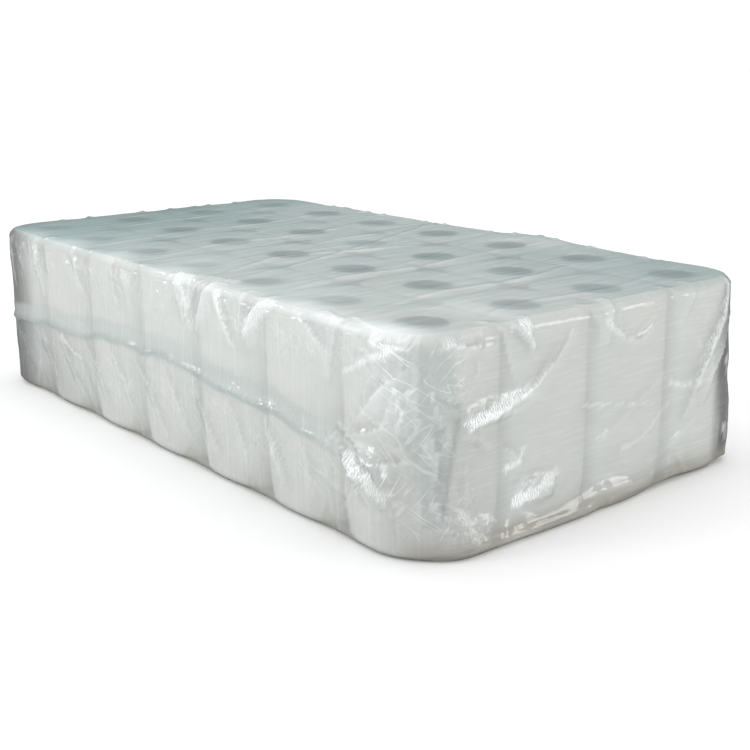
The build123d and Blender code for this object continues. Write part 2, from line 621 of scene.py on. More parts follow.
def roll_profile(height):
    """The closed outline of a roll's wall, from the bore over the low end, up the side and back over the high end.

    One row a point: its share of the way from bore to side, then how many of the bore's rim, the low rim and the high
    rim to add to its reach, its plain height, how many of the same three to add to that, and how far it is on an end.
    """
    bore_arc = np.linspace(0, np.pi / 2, 4)
    arc = np.linspace(0, np.pi / 2, 6)
    face = np.linspace(0, 1, 6)[1:-1]
    wall = np.linspace(0, 1, 9)[1:-1]
    rows = [(0, 1 - math.cos(a), 0, 0, 0, 1 - math.sin(a), 0, 0, 1) for a in bore_arc]
    rows += [(f, 1 - f, -f, 0, 0, 0, 0, 0, 1) for f in face]
    rows += [(1, 0, math.sin(a) - 1, 0, 0, 0, 1 - math.cos(a), 0, 1 - a / (np.pi / 2)) for a in arc]
    rows += [(1, 0, 0, 0, height * f, 0, 1 - f, -f, 0) for f in wall]
    rows += [(1, 0, 0, math.sin(a) - 1, height, 0, 0, math.cos(a) - 1, 1 - a / (np.pi / 2)) for a in arc[::-1]]
    rows += [(f, 1 - f, 0, -f, height, 0, 0, 0, 1) for f in face[::-1]]
    rows += [(0, 1 - math.cos(a), 0, 0, height, math.sin(a) - 1, 0, 0, 1) for a in bore_arc[::-1]]
    rows += [(0, 0, 0, 0, height / 2, 0, 0, 0, 1)]
    return np.array(rows, float)


def roll_surface(low, high, settings, rng):
    """One wound roll as a closed ring: a rounded profile carried round the core.

    Its outline is the squeezed one at the outside and a circle at the bore. The radius falls slowly round the roll
    and steps up at the tail of the last sheet. Ends that show have a full soft rim and dip a little at the bore,
    and ends pressed on the other layer have a tight one. Returns the points, two masks (how far a point is on an
    end, and painted shade towards the bore) and the coordinates of the winding: the way out from the axis and the way
    up.
    """
    middle = (low + high) / 2
    base, top = low[2], high[2]
    height = top - base
    turn = np.arange(ROLL_COLUMNS) / ROLL_COLUMNS * 2 * np.pi
    outline, faces_out = squeezed_reach(low, high, turn)
    open_rim = BORE_RIM + (settings.rim - BORE_RIM) * smooth_step(faces_out, 0.0, 0.6)
    joint_rim = np.full(ROLL_COLUMNS, settings.joint_rim)
    rim_low = open_rim if base < MID_HEIGHT / 2 else joint_rim
    rim_high = open_rim if top > MID_HEIGHT * 1.5 else joint_rim
    bore = settings.bore_radius
    out, b_in, l_in, h_in, plain, b_up, l_up, h_up, on_end = roll_profile(height).T[:, :, None]
    extra = b_in * BORE_RIM + l_in * rim_low + h_in * rim_high
    rise = plain + b_up * BORE_RIM + l_up * rim_low + h_up * rim_high
    wound = ((turn - rng.uniform(0, 2 * np.pi)) / (2 * np.pi)) % 1.0
    lumps = 0.0004 * np.sin(2 * turn + rng.uniform(0, 6)) + 0.0003 * np.sin(5 * turn + rng.uniform(0, 6))
    full = 0.0004 * (1 - (2 * rise / height - 1) ** 4)
    # The foot of the lower layer bulges less than the rest, so it stays rounder.
    foot = squeezed_reach(low, high, turn, FOOT_POWER)[0]
    outline = foot + (outline - foot) * smooth_step(base + rise, 0.0, 0.040)
    side = outline - settings.tail_step * wound - np.abs(lumps) - ROLL_EASE
    reach = bore + (side - bore) * out + extra + full * out
    dip = 0.0010 * on_end * (1 - out) * (extra > 0)
    x = middle[0] + reach * np.cos(turn)
    y = middle[1] + reach * np.sin(turn)
    z = base + rise + np.where(rise > height / 2, -dip, dip) + 0 * turn
    # Painted shade: the tissue is darkened over the last 8 mm towards the bore, where shade falls into the hole.
    shade = np.clip(1 - (reach - bore) / 0.008, 0, 1) ** 1.3 * 0.5
    run = bore + (side.mean(axis=1, keepdims=True) - bore) * out + extra.mean(axis=1, keepdims=True)
    return np.stack([x, y, z], axis=-1), on_end + 0 * z, shade + 0 * z, run, rise


def make_roll(name, settings, material, rng):
    """The wound paper of one roll, with a UV map in metres: round its side and up it, and outwards across an end."""
    low, high = node_box(name)
    points, on_end, shade, run, rise = roll_surface(low, high, settings, rng)
    rows, columns = points.shape[:2]
    faces = ring_faces(rows, columns, closed_rows=True).tolist()
    piece = new_piece(name + "_paper", points.reshape(-1, 3), faces, material)
    mesh = piece.data
    point_mask(mesh, "end_face", on_end.ravel())
    point_mask(mesh, "shade", shade.ravel())
    corner = corner_vertices(mesh)
    row, column = corner // columns, corner % columns
    turned = corner_turns(corner, columns)
    radius = (high[0] - low[0]) / 2
    end = on_end[row, 0] > 0.5
    u = np.where(end, run[row, 0] + PLY * turned, turned * 2 * np.pi * radius)
    v = np.where(end, turned * 2 * np.pi * 0.01, rise[row, column])
    corner_uv(mesh, "wrap", np.stack([u, v], axis=-1))
    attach(piece, "root")
    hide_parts(name)
    return piece


def make_cores(name, settings, material, rng):
    """The card tubes of one layer: each is a thin wall with soft ends, a shade oval, closed top and bottom."""
    low, high = node_box(name)
    base, top = low[2] + settings.inset, high[2] - settings.inset
    middle = (base + top) / 2
    turn = np.arange(CORE_COLUMNS) / CORE_COLUMNS * 2 * np.pi
    outer, inner = CORE_OUTSIDE, CORE_OUTSIDE - settings.wall
    soft = settings.wall * 0.3
    profile = np.array([
        (outer, base + soft), (outer, middle), (outer, top - soft), (outer - soft, top), (inner + soft, top),
        (inner, top - soft), (inner, middle), (inner, base + soft), (inner + soft, base), (outer - soft, base),
    ])
    faces = ring_faces(len(profile), CORE_COLUMNS, closed_rows=True)
    rings = []
    for x in LAYOUT["columns"]:
        for y in LAYOUT["rows"]:
            oval = 1 - np.abs(rng.uniform(0.0, 0.05) * np.sin(turn + rng.uniform(0, 6)))
            reach = profile[:, :1] * oval
            rise = profile[:, 1:] + rng.uniform(-0.0006, 0.0006) + 0 * turn
            rings.append(np.stack([x + reach * np.cos(turn), y + reach * np.sin(turn), rise], axis=-1))
    points = np.stack(rings).reshape(-1, 3)
    faces = np.concatenate([faces + number * profile.shape[0] * CORE_COLUMNS for number in range(len(rings))])
    piece = new_piece(name + "_card", points, faces.tolist(), material)
    corner = corner_vertices(piece.data)
    corner_uv(piece.data, "wrap", np.stack([corner_turns(corner, CORE_COLUMNS), points[corner, 2] * 7], axis=-1))
    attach(piece, "root")
    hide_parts(name)
    return piece


# Film


def footprint(run, inset):
    """A point on the bale's rounded-rectangle outline and its outward normal.

    run is the distance round, anticlockwise from the middle of the corner at -X, -Y, and inset moves the outline
    inwards. Each corner is a quarter circle about the middle of the corner roll. The outline has nine parts: half a
    corner, then side and corner by turns, and the other half.
    """
    radius = CORNER_RADIUS
    cx, cy = HALF_LENGTH - radius, HALF_WIDTH - radius
    quarter = np.pi * radius / 2
    ends = np.cumsum([quarter / 2, 2 * cx, quarter, 2 * cy, quarter, 2 * cx, quarter, 2 * cy, quarter / 2])
    run = np.mod(run, ends[-1])
    part = np.minimum(np.searchsorted(ends, run, side="right"), 8)
    along = run - np.concatenate([[0], ends])[part]
    start_angle = np.radians([-135, -90, -90, 0, 0, 90, 90, 180, 180])[part]
    angle = start_angle + np.where(part % 2 == 0, along / radius, 0)
    centre_x = np.array([-1, -1, 1, 1, 1, 1, -1, -1, -1])[part] * cx
    centre_y = np.array([-1, -1, -1, -1, 1, 1, 1, 1, -1])[part] * cy
    slide_x = np.array([0, 1, 0, 0, 0, -1, 0, 0, 0])[part] * along
    slide_y = np.array([0, 0, 0, 1, 0, 0, 0, -1, 0])[part] * along
    normal = np.stack([np.cos(angle), np.sin(angle)], -1)
    return np.stack([centre_x + slide_x, centre_y + slide_y], -1) + (radius - inset) * normal, normal


def patch_edges(ring, nu, nv):
    """The near, far, left and right edge of a patch, from the values round it in order."""
    near, right = ring[: nu + 1], ring[nu : nu + nv + 1]
    far = ring[nu + nv : 2 * nu + nv + 1][::-1]
    left = np.concatenate([ring[2 * nu + nv :], ring[:1]])[::-1]
    return near, far, left, right


def flat_patch(outline, nu, nv):
    """A grid of nu by nv cells inside a closed outline, each point blended from the four edges (a Coons patch)."""
    near, far, left, right = patch_edges(outline, nu, nv)
    u, v = np.linspace(0, 1, nu + 1)[:, None, None], np.linspace(0, 1, nv + 1)[None, :, None]
    corners = (1 - u) * (1 - v) * near[0] + u * (1 - v) * near[-1] + (1 - u) * v * far[0] + u * v * far[-1]
    return (1 - v) * near[:, None] + v * far[:, None] + (1 - u) * left[None] + u * right[None] - corners


def grid_quads(number):
    """Quads, facing up, of a grid whose vertex numbers are given."""
    return np.stack([number[:-1, :-1], number[1:, :-1], number[1:, 1:], number[:-1, 1:]], -1).reshape(-1, 4)


def film_grid():
    """The bag before it is creased: points, normals, unrolled coordinates and faces of a closed rounded box.

    Rings of points run from the edge of the top down the wall to the edge of the foot. A flat patch closes the top,
    and a coarser one the foot, with a band round it. The unrolled coordinates are the distance round and the height
    on the rings, and X and Y on the patches. Also returns the number of points in all rings and in one.
    """
    rim, step = FILM_RIM, FOOT_STEP
    quarter = np.pi * CORNER_RADIUS / 2
    long_run = 2 * (HALF_LENGTH - CORNER_RADIUS) + quarter
    short_run = 2 * (HALF_WIDTH - CORNER_RADIUS) + quarter
    half_way = np.concatenate([
        np.arange(LONG_CELLS) / LONG_CELLS * long_run, long_run + np.arange(SHORT_CELLS) / SHORT_CELLS * short_run,
    ])
    run = np.concatenate([half_way, long_run + short_run + half_way])
    columns = len(run)
    # Each ring: how far it is inside the outline, its height, and how far its normal turns up.
    arc = np.linspace(0, np.pi / 2, 4)
    wall = np.arange(1, WALL_CELLS) / WALL_CELLS
    rings = [(rim * (1 - np.sin(a)), BALE_HEIGHT - rim * (1 - np.cos(a)), np.cos(a)) for a in arc]
    rings += [(0.0, BALE_HEIGHT - rim - (BALE_HEIGHT - 2 * rim) * share, 0.0) for share in wall]
    rings += [(rim * (1 - np.sin(a)), rim * (1 - np.cos(a)), -np.cos(a)) for a in arc[::-1]]
    points, normals, flow = [], [], []
    for inset, z, up in rings:
        outline, normal = footprint(run, inset)
        points.append(np.column_stack([outline, np.full(columns, z)]))
        normals.append(np.column_stack([normal * math.sqrt(max(0.0, 1 - up * up)), np.full(columns, up)]))
        flow.append(np.column_stack([run, np.full(columns, z)]))
    ring_points = len(rings) * columns
    # The top is joined to the first ring point by point.
    top = flat_patch(points[0][:, :2], LONG_CELLS, SHORT_CELLS)
    top_number = np.zeros(top.shape[:2], int)
    edges = patch_edges(np.arange(columns), LONG_CELLS, SHORT_CELLS)
    top_number[:, 0], top_number[:, -1], top_number[0, :], top_number[-1, :] = edges
    top = top[1:-1, 1:-1]
    top_number[1:-1, 1:-1] = ring_points + np.arange(top.shape[0] * top.shape[1]).reshape(top.shape[:2])
    # The foot has a point to every few of the last ring's, a little way in from it.
    foot = flat_patch(points[-1][::step, :2], LONG_CELLS // step, SHORT_CELLS // step)
    middle = foot.mean(axis=(0, 1))
    foot = middle + (foot - middle) * (1 - FOOT_BAND / np.array([HALF_LENGTH, HALF_WIDTH]))
    foot_number = ring_points + top.shape[0] * top.shape[1] + np.arange(foot.shape[0] * foot.shape[1])
    foot_number = foot_number.reshape(foot.shape[:2])
    for patch, z, up in ((top, BALE_HEIGHT, 1.0), (foot, 0.0, -1.0)):
        flat = patch.reshape(-1, 2)
        points.append(np.column_stack([flat, np.full(len(flat), z)]))
        normals.append(np.tile([0, 0, up], (len(flat), 1)))
        flow.append(flat)
    # The band between them: a triangle, a quad and a triangle to each point of the foot's edge.
    border = np.concatenate([foot_number[:-1, 0], foot_number[-1, :-1], foot_number[:0:-1, -1], foot_number[0, :0:-1]])
    k = np.arange(len(border))
    fine = [ring_points - columns + (step * k + j) % columns for j in range(step + 1)]
    coarse, next_coarse = border, np.roll(border, -1)
    quads = np.concatenate([
        ring_faces(len(rings), columns)[:, ::-1], grid_quads(top_number), grid_quads(foot_number)[:, ::-1],
        np.stack([fine[2], fine[1], coarse, next_coarse], -1),
    ])
    triangles = np.concatenate([
        np.stack([fine[1], fine[0], coarse], -1), np.stack([fine[3], fine[2], next_coarse], -1),
    ])
    faces = quads.tolist() + triangles.tolist()
    return np.concatenate(points), np.concatenate(normals), np.concatenate(flow), faces, ring_points, columns


def creased_cells(points, sizes, seed):
    """A height from 0 to about 1 that rises to sharp ridges between cells, like the facets of crumpled film.

    Space is cut into boxes of the given sizes with one random point in each. The height is the distance to the
    nearest of those points, in boxes. The position is bent a little first so that no ridge runs quite straight.
    """
    x, y, z = points.T
    bend = np.stack([
        np.sin(y * 31 + seed) + np.sin(z * 47 + 2 * seed),
        np.sin(x * 27 + seed) + np.sin(z * 39),
        np.sin(x * 23) + np.sin(y * 33 + seed),
    ], -1)
    place = (points + 0.006 * bend) / np.array(sizes)
    cell = np.floor(place).astype(np.int64)
    # Large odd numbers mix a box's place and the seed into where its point is.
    nearest = np.full(len(points), 9.0)
    for step in np.ndindex(3, 3, 3):
        home = cell + np.array(step) - 1
        mixed = home[:, 0] * 73856093 ^ home[:, 1] * 19349663 ^ home[:, 2] * 83492791 ^ (seed * 2654435761)
        jitter = np.stack([((mixed >> shift) * 40503 % 65521) / 65521 for shift in (0, 5, 11)], -1)
        nearest = np.minimum(nearest, ((home + jitter - place) ** 2).sum(-1))
    return np.sqrt(nearest)


def sag_depth(points, normals, settings):
    """How far the film pulls in: between two rolls on the sides, and between four rolls or over a bore on top.

    Also returns where it hangs free between two rolls, between four, and over a bore, each from 0 to 1.
    """
    x, y, z = points.T
    near_edge = smooth_step(np.abs(z - MID_HEIGHT), MID_HEIGHT * 0.45, MID_HEIGHT)
    depth = settings.sag * (0.55 + 0.6 * near_edge)
    # On the sides: a wave that is 0 at a roll's middle and 1 between two rolls.
    wave_x = 0.5 - 0.5 * np.cos(2 * np.pi * (x - LAYOUT["columns"][0]) / PITCH_ALONG)
    wave_y = 0.5 - 0.5 * np.cos(2 * np.pi * (y - LAYOUT["rows"][0]) / PITCH_ACROSS)
    on_long = np.abs(normals[:, 1]) * (np.abs(x) <= HALF_LENGTH - CORNER_RADIUS)
    on_end = np.abs(normals[:, 0]) * (np.abs(y) <= HALF_WIDTH - CORNER_RADIUS)
    side = on_long * wave_x ** 1.3 * depth + on_end * wave_y ** 1.3 * depth * 0.8
    # On top: the distance from the nearest roll's axis.
    dx = np.abs(x[:, None] - LAYOUT["columns"][None]).min(axis=1)
    dy = np.abs(y[:, None] - LAYOUT["rows"][None]).min(axis=1)
    near = np.sqrt(dx ** 2 + dy ** 2)
    gap = smooth_step(near, LAYOUT["radius"] - 0.008, LAYOUT["radius"] + 0.028)
    hole = 1 - smooth_step(near, 0.008, 0.024)
    up = np.clip(normals[:, 2], 0, 1)
    top = up * (gap * 0.0010 + hole * 0.0008)
    free_side = on_long * wave_x ** 1.6 + on_end * wave_y ** 1.6
    return side + top, free_side, up * gap, up * hole


# Each main fold: face, then its line as (along, up) or (along, across) in millimetres, height and width in
# millimetres, and how lop-sided it is. On the long side the line is (x, z), past the top edge it runs on over the
# top; on the end it is (y, z); on the top it is (x, y).

MAIN_FOLDS = [
    # Upper long side: pulls that start at the top edge and run down to a point between two rolls.
    ("long", [(40, 205), (58, 180), (75, 140)], 4.0, 9, 0.5),
    ("long", [(112, 215), (95, 185), (77, 142)], 4.5, 9, -0.5),
    ("long", [(118, 196), (128, 176), (148, 142)], 3.5, 7, 0.6),
    ("long", [(160, 205), (163, 184), (161, 156)], 3.0, 7, 0.4),
    ("long", [(195, 203), (182, 184), (163, 155)], 4.5, 10, -0.6),
    ("long", [(18, 196), (60, 207), (114, 226)], 4.0, 7, 0.6),
    ("long", [(240, 198), (268, 184), (300, 160)], 2.5, 9, 0.4),
    ("long", [(262, 214), (300, 200), (340, 190)], 3.0, 9, 0.5),
    ("long", [(-96, 205), (-88, 180), (-80, 140)], 2.2, 8, 0.4),
    ("long", [(-190, 205), (-176, 170), (-150, 132)], 2.4, 9, 0.4),
    ("long", [(-300, 206), (-290, 175), (-268, 120)], 2.4, 9, -0.4),
    ("long", [(-352, 190), (-345, 160), (-348, 128)], 2.4, 8, 0.3),
    ("long", [(-318, 150), (-332, 165), (-340, 190)], 2.0, 6, 0.3),
    # Below the weld: long slanting pulls towards the foot of the next roll.
    ("long", [(-345, 80), (-325, 50), (-312, 20)], 2.2, 7, 0.4),
    ("long", [(-280, 84), (-262, 56), (-232, 14)], 2.6, 8, 0.4),
    ("long", [(-235, 90), (-205, 55), (-165, 12)], 3.0, 8, 0.5),
    ("long", [(-228, 88), (-200, 74), (-172, 66)], 2.0, 6, 0.4),
    ("long", [(-168, 96), (-140, 66), (-108, 16)], 2.8, 8, 0.4),
    ("long", [(-110, 100), (-80, 66), (-46, 14)], 2.4, 8, 0.4),
    ("long", [(-48, 98), (-16, 62), (18, 14)], 2.8, 8, 0.4),
    ("long", [(8, 98), (40, 62), (70, 20)], 2.2, 8, 0.4),
    ("long", [(66, 96), (92, 66), (118, 22)], 2.6, 8, 0.4),
    ("long", [(130, 92), (152, 64), (168, 26)], 2.2, 8, 0.4),
    ("long", [(196, 88), (216, 58), (232, 20)], 2.2, 8, 0.4),
    ("long", [(250, 84), (262, 58), (270, 24)], 2.0, 8, 0.4),
    # The gather where the weld dies out, short of the near corner.
    ("long", [(292, 96), (322, 82), (350, 52)], 4.5, 8, 0.5),
    ("long", [(300, 106), (335, 96), (366, 64)], 4.0, 7, -0.5),
    ("long", [(318, 90), (330, 70), (334, 44)], 4.0, 6, 0.6),
    ("long", [(345, 100), (356, 82), (360, 54)], 4.0, 6, -0.6),
    ("long", [(300, 92), (345, 108), (392, 128)], 3.0, 8, 0.5),
    ("long", [(318, 80), (360, 84), (398, 92)], 3.0, 7, 0.5),
    ("long", [(360, 104), (372, 140), (376, 168)], 2.4, 6, 0.5),
    ("long", [(330, 112), (362, 150), (398, 176)], 3.4, 9, 0.5),
    # Round the near corner.
    ("long", [(348, 191), (372, 184), (398, 188)], 3.2, 6, 0.6),
    ("long", [(380, 189), (388, 172), (392, 150)], 2.4, 5, 0.5),
    ("end", [(-196, 196), (-176, 184), (-132, 178)], 3.6, 7, 0.5),
    ("end", [(-206, 120), (-196, 90), (-204, 48)], 3.4, 7, 0.6),
    ("end", [(-200, 60), (-190, 36), (-176, 16)], 3.0, 6, 0.5),
    ("end", [(-212, 96), (-214, 66), (-216, 30)], 2.4, 5, 0.4),
    # The end: one long rippled pull, and small pocket folds.
    ("end", [(-178, 106), (-160, 120), (-128, 124), (-92, 136), (-60, 160), (-40, 180)], 4.2, 9, 0.6),
    ("end", [(-106, 192), (-96, 182), (-88, 165)], 3.6, 6, 0.5),
    ("end", [(-120, 196), (-104, 180), (-90, 166)], 3.0, 6, -0.5),
    ("end", [(-128, 90), (-112, 82), (-100, 66)], 3.2, 6, 0.5),
    ("end", [(-112, 52), (-86, 50), (-56, 40)], 2.6, 10, 0.6),
    ("end", [(-110, 33), (-84, 34), (-58, 32)], 1.6, 9, -0.5),
    ("end", [(10, 175), (30, 158), (52, 157), (74, 170)], 2.6, 7, 0.5),
    ("end", [(-60, 104), (0, 98), (78, 88)], 1.4, 4, 0.5),
    ("end", [(100, 104), (128, 96), (166, 94)], 2.2, 6, 0.5),
    ("end", [(-30, 60), (10, 72), (60, 100), (100, 128)], 1.8, 9, 0.4),
    ("end", [(60, 28), (100, 40), (150, 66)], 2.0, 8, 0.4),
    ("end", [(120, 60), (136, 96), (160, 136), (186, 186)], 4.5, 9, 0.6),
    ("end", [(150, 70), (168, 104), (184, 140), (196, 170)], 3.6, 8, -0.5),
    ("end", [(-170, 12), (-120, 8), (-60, 10), (0, 8)], 3.5, 8, 0.4),
    ("end", [(-60, 12), (0, 22), (60, 18), (120, 24)], 2.4, 8, 0.4),
    # The back and the far end: pulls of the same kinds.
    ("back", [(-60, 205), (-48, 176), (-30, 140)], 3.0, 8, 0.5),
    ("back", [(120, 206), (132, 178), (150, 142)], 3.5, 8, -0.5),
    ("back", [(-250, 205), (-236, 172), (-228, 128)], 3.6, 9, 0.5),
    ("back", [(300, 205), (288, 176), (270, 136)], 3.2, 8, 0.5),
    ("back", [(-330, 88), (-300, 60), (-270, 20)], 3.0, 8, 0.4),
    ("back", [(-130, 88), (-104, 58), (-70, 16)], 2.6, 8, 0.4),
    ("back", [(60, 88), (88, 58), (120, 16)], 2.8, 8, 0.4),
    ("back", [(230, 88), (256, 58), (290, 16)], 2.6, 8, 0.4),
    ("far_end", [(-100, 205), (-88, 176), (-70, 140)], 3.4, 8, 0.5),
    ("far_end", [(70, 205), (56, 172), (44, 130)], 3.2, 8, -0.5),
    ("far_end", [(-160, 60), (-120, 76), (-60, 110)], 3.0, 9, 0.5),
    ("far_end", [(160, 90), (120, 70), (70, 30)], 2.8, 8, 0.5),
    # The top: long pulls across it, fanning out.
    ("top", [(71, -202), (11, -79), (44, 20), (54, 90)], 1.4, 5, 0.5),
    ("top", [(99, -210), (70, -100), (32, 5), (-30, 150), (-60, 215)], 1.3, 5, 0.5),
    ("top", [(180, -205), (150, -120), (160, 0), (140, 120), (150, 215)], 1.0, 6, 0.4),
    ("top", [(300, -200), (270, -90), (280, 30), (250, 150)], 1.0, 6, -0.4),
    ("top", [(385, -150), (350, -60), (365, 60), (330, 200)], 0.9, 6, 0.4),
    ("top", [(-60, -205), (-100, -90), (-90, 40), (-140, 190)], 1.0, 5, 0.4),
    ("top", [(-180, -205), (-205, -80), (-200, 60), (-240, 205)], 1.0, 5, 0.4),
    ("top", [(-290, -200), (-300, -60), (-310, 80), (-330, 200)], 0.9, 5, 0.4),
]


def fold_line(face, line):
    """A fold's line in space, as ten points to a stretch. Past the top edge a side's line runs on over the top."""
    bends = np.array(line, float) / 1000
    share = np.linspace(0, len(bends) - 1, max(8, 10 * (len(bends) - 1)))
    u, v = (np.interp(share, np.arange(len(bends)), bends[:, axis]) for axis in (0, 1))
    if len(bends) > 2:
        # A running mean rounds the bends.
        u, v = (np.convolve(np.pad(values, 2, mode="edge"), np.ones(5) / 5, "valid") for values in (u, v))
    if face == "top":
        return np.column_stack([u, v, np.full(len(u), BALE_HEIGHT)])
    over, z = np.maximum(v - BALE_HEIGHT, 0), np.minimum(v, BALE_HEIGHT)
    side = SIDE_SIGN[face]
    if face in ("long", "back"):
        return np.column_stack([u, side * (HALF_WIDTH - over), z])
    return np.column_stack([side * (HALF_LENGTH - over), u, z])


def hug_corner(line):
    """Moves a line's points onto the bale's rounded outline where the flat faces would leave it."""
    cx = np.clip(line[:, 0], -HALF_LENGTH + CORNER_RADIUS, HALF_LENGTH - CORNER_RADIUS)
    cy = np.clip(line[:, 1], -HALF_WIDTH + CORNER_RADIUS, HALF_WIDTH - CORNER_RADIUS)
    dx, dy = line[:, 0] - cx, line[:, 1] - cy
    far = np.sqrt(dx * dx + dy * dy)
    scale = np.where(far > CORNER_RADIUS, CORNER_RADIUS / np.maximum(far, 1e-9), 1)
    return np.column_stack([cx + dx * scale, cy + dy * scale, line[:, 2]])


def nearest_on_line(points, line, reach):
    """The points within reach of a line's box, with each one's nearest place on the line.

    Returns the points' numbers, their distances, the number of the nearest stretch of line, its direction, the
    offset from it and how far along the whole line it is, 0 to 1.
    """
    low, high = line.min(axis=0) - reach, line.max(axis=0) + reach
    close = np.nonzero(((points > low) & (points < high)).all(axis=1))[0]
    start, step = line[:-1], np.diff(line, axis=0)
    away = points[close][:, None, :] - start[None]
    share = np.clip((away * step[None]).sum(-1) / ((step ** 2).sum(axis=1) + 1e-12), 0, 1)
    offset = away - share[..., None] * step[None]
    distance = np.sqrt((offset ** 2).sum(-1))
    best = distance.argmin(axis=1)
    pick = np.arange(len(close)), best
    return close, distance[pick], step[best], offset[pick], (best + share[pick]) / len(step)


def raise_fold(points, normals, line, height, width, lean, masks):
    """Adds one fold: a tent over a line, its height falling to nothing across its width and at both ends.

    lean from -1 to 1 makes one flank steep and the other long. The fold is added to masks in place: its lift,
    its sharp crease, a painted highlight on its lit flank and painted shade on the other.
    """
    close, distance, step, offset, along = nearest_on_line(points, line, width * 2.2)
    if not len(close):
        return
    side = np.sign((np.cross(step, normals[close]) * offset).sum(-1))
    tent = np.clip(1 - distance / (width * (1 + lean * side)), 0, 1)
    tent = tent * (0.35 + 0.65 * tent)
    taper = np.clip(4 * along * (1 - along), 0, 1) ** 0.6
    masks["lift"][close] += height * tent * taper
    # Only a fold more than 0.9 mm high has flanks that show, and less so on the top.
    seen = taper * np.clip((height - 0.0009) / 0.0024, 0, 1) * np.where(normals[close, 2] > 0.9, 0.35, 1.0)
    lit = side * np.sign(lean) > 0
    for name, spread, strength in (
        ("crease", 0.4, taper * min(1.0, height / 0.003)), ("painted_light", 1.9, lit * seen), ("painted_shade", 1.3, ~lit * seen),
    ):
        added = np.clip(1 - distance / (width * spread), 0, 1) * strength
        masks[name][close] = np.maximum(masks[name][close], added)


def top_pulls(settings, rng):
    """Fine pulls across the top."""
    folds = []
    long_mm, wide_mm = HALF_LENGTH * 1000, HALF_WIDTH * 1000
    for _ in range(settings.wrinkles):
        x = rng.uniform(-long_mm + 12, long_mm - 12)
        y = rng.uniform(-wide_mm + 10, wide_mm - 60)
        length = rng.uniform(60, 300)
        drift = rng.normal(-0.16, 0.16) * length
        bow = rng.normal(0, 8)
        end_y = min(y + length, wide_mm - 8)
        line = [(x, y), (x + drift / 2 + bow, (y + end_y) / 2), (x + drift, end_y)]
        folds.append(("top", line, rng.uniform(0.10, 0.42), rng.uniform(3, 6.0), rng.uniform(-0.6, 0.6)))
    return folds


def side_streaks(rng):
    """Streaks on the four sides: about upright above the weld, slanting below it, and fainter on the ends."""
    folds = []
    for face in SIDE_SIGN:
        on_end = face in ("end", "far_end")
        half = (HALF_WIDTH if on_end else HALF_LENGTH) * 1000
        for _ in range(int(half / 3.2)):
            u = rng.uniform(-half + 10, half - 10)
            upper = rng.random() < 0.5
            low = rng.uniform(102, 140) if upper else rng.uniform(8, 40)
            high = rng.uniform(160, 200) if upper else rng.uniform(60, 92)
            slant = rng.normal(0, 10) if upper else rng.normal(-22, 10)
            line = [(u, low), (u + slant * 0.6, (low + high) / 2), (u + slant, high)]
            height = rng.uniform(0.15, 0.6) * (0.45 if on_end else 1.0)
            folds.append((face, line, height, rng.uniform(4, 9), rng.uniform(-0.6, 0.6)))
    return folds


def corner_crumples(rng):
    """Short curved crumples wrapped round the near corner, first on the long side and then on the end."""
    folds = []
    for _ in range(64):
        turn = rng.uniform(0, np.pi)
        along, high = rng.uniform(290, 470), rng.uniform(18, 188)
        if high > 120 and along < 340:
            continue
        reach, bend = rng.uniform(8, 26), rng.uniform(-9, 9)
        cos, sin = np.cos(turn), np.sin(turn)
        marks = [
            (along - reach * cos, high - reach * sin), (along + bend * sin, high - bend * cos),
            (along + reach * cos, high + reach * sin),
        ]
        marks = [(u, float(np.clip(v, 4, 193))) for u, v in marks]
        face, tallest = ("long", 2.8) if along < 395 else ("end", 2.6)
        if face == "end":
            # Along the end the same distance counts from its middle.
            marks = [(u - CORNER_ALONG - CORNER_ACROSS, v) for u, v in marks]
        folds.append((face, marks, rng.uniform(1.2, tallest), rng.uniform(3.5, 5.5), rng.uniform(0.3, 0.6)))
    return folds


def edge_notches(rng):
    """Notches over the top edge and up from the foot, two of each to a gap between rolls: they scallop the edges."""
    folds = []
    high_mm = BALE_HEIGHT * 1000
    for face in SIDE_SIGN:
        on_end = face in ("end", "far_end")
        middles, pitch = (LAYOUT["rows"], PITCH_ACROSS) if on_end else (LAYOUT["columns"], PITCH_ALONG)
        for gap in (middles[:-1] + pitch / 2) * 1000:
            for sign in (-1, 1):
                spread = rng.uniform(14, 30)
                depth = rng.uniform(25, 60)
                line = [
                    (gap + sign * spread, high_mm + rng.uniform(8, 26)), (gap + sign * spread * 0.7, high_mm - 8),
                    (gap + sign * 3, high_mm - depth),
                ]
                folds.append((face, line, rng.uniform(1.2, 2.6), rng.uniform(6, 9), sign * rng.uniform(0.2, 0.6)))
                line = [(gap + sign * spread * 0.8, rng.uniform(2, 5)), (gap + sign * 3, rng.uniform(20, 40))]
                folds.append((face, line, rng.uniform(1.0, 2.0), rng.uniform(5, 8), sign * 0.4))
    return folds


# Crumpled patches: face, middle, half length and half height in millimetres, and strength.

